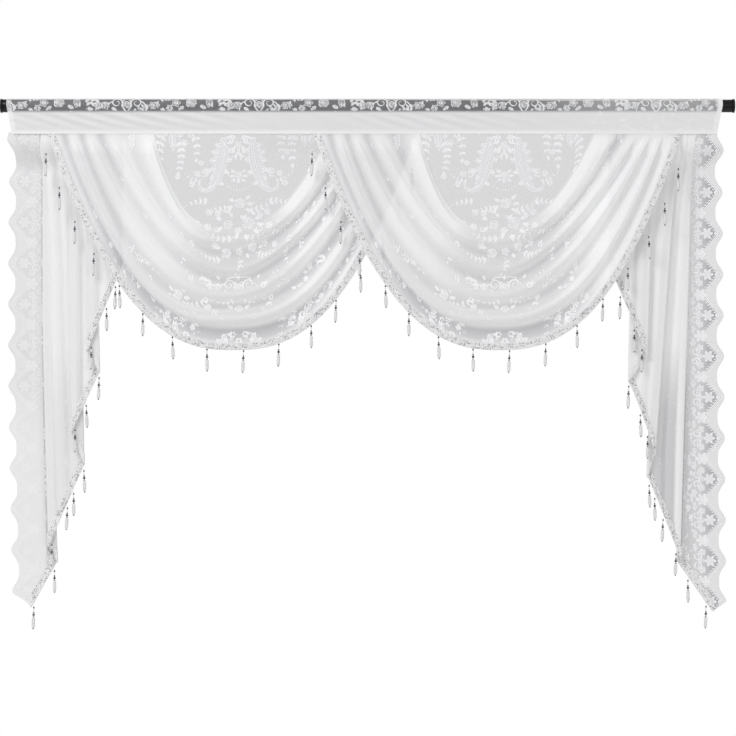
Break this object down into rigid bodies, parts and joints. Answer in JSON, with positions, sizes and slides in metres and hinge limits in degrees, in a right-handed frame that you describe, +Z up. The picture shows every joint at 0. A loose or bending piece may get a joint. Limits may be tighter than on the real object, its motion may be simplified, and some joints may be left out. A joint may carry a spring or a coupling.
{
  "type": "lace swag curtain on rod",
  "caption": "Sheer lace swag curtain on a round rod: pocket heading, overlapping swags and a stepped tail at each side, edged with beaded braid.",
  "frame": {"origin": "middle of the rod's axis", "axes": "+X along the rod to the viewer's right, +Y away from the viewer towards the wall, +Z up; the front faces -Y"},
  "size_m": [1.573, 0.0601, 1.1427],
  "materials": {
    "rod_enamel": "gloss black enamel",
    "cap_plastic": "satin black",
    "lace": "sheer white patterned lace",
    "beaded_braid": "cream braid with silver sequins and bead drops"
  },
  "bodies": {
    "root": {"rod": "rod_enamel", "rod_cap_left": "cap_plastic", "rod_cap_right": "cap_plastic", "heading": "lace", "swag_left": "lace", "swag_left_braid": "beaded_braid", "swag_right": "lace", "swag_right_braid": "beaded_braid", "tail_left": "lace", "tail_left_braid": "beaded_braid", "tail_right": "lace", "tail_right_braid": "beaded_braid"}
  },
  "joints": []
}
